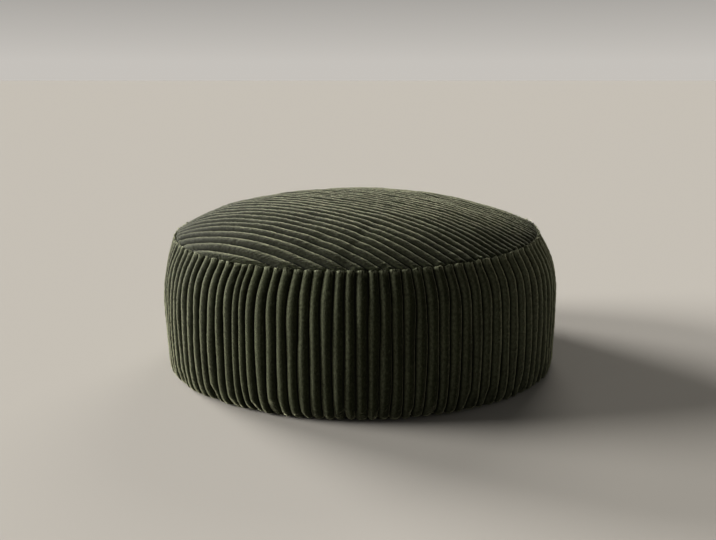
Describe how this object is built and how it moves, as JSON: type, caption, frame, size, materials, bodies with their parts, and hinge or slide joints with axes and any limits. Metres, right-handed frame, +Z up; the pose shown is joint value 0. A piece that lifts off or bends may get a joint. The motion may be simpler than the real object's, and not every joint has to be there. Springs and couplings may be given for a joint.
{
  "type": "giant bean bag",
  "caption": "Giant round floor bean bag: low drum of filled cloth with upright ribs round the side, a seamed domed top with straight ribs across it and a flat base.",
  "frame": {"origin": "on the floor under the middle of the bag", "axes": "+Z up; the front, which the picture shows, faces -Y; +X to the right seen from the front"},
  "size_m": [1.1995, 1.2023, 0.5014],
  "materials": {
    "side_cloth": "dark green wide-ribbed velvet corduroy, ribs upright",
    "top_cloth": "dark green wide-ribbed velvet corduroy, ribs straight across the crown",
    "base_cloth": "plain dark hard-wearing woven cloth"
  },
  "bodies": {
    "root": {"side_panel_front": "side_cloth", "side_panel_back": "side_cloth", "side_panel_left": "side_cloth", "top_panel": "top_cloth", "base_panel": "base_cloth"}
  },
  "joints": []
}
